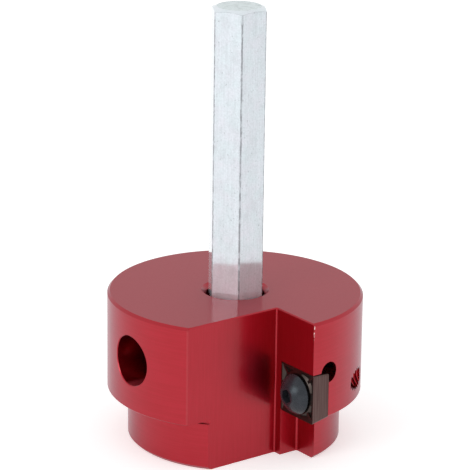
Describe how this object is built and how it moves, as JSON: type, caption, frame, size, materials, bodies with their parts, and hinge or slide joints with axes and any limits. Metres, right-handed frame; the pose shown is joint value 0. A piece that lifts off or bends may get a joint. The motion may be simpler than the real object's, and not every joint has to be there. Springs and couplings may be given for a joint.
{
  "type": "pvc pipe reamer",
  "caption": "Drill-driven pipe reamer: red anodised round head with a stepped pilot, a chip notch holding a square carbide insert, and a hexagonal drive shank.",
  "frame": {"origin": "on the tool's axis, at the pilot's bottom face", "axes": "+Z along the tool's axis from the pilot towards the shank's free end; +X radially out through the insert's cutting edge; the insert's face looks towards -Y"},
  "size_m": [0.0481, 0.048, 0.0829],
  "materials": {
    "anodised_body": "satin red anodised",
    "shank_steel": "bright zinc plate on drawn bar",
    "carbide": "brown-grey coated carbide",
    "black_screw": "black oxide"
  },
  "bodies": {
    "root": {"reamer_body": "anodised_body", "drive_shank": "shank_steel", "cutting_insert": "carbide", "insert_screw": "black_screw", "shank_screw": "black_screw"}
  },
  "joints": []
}
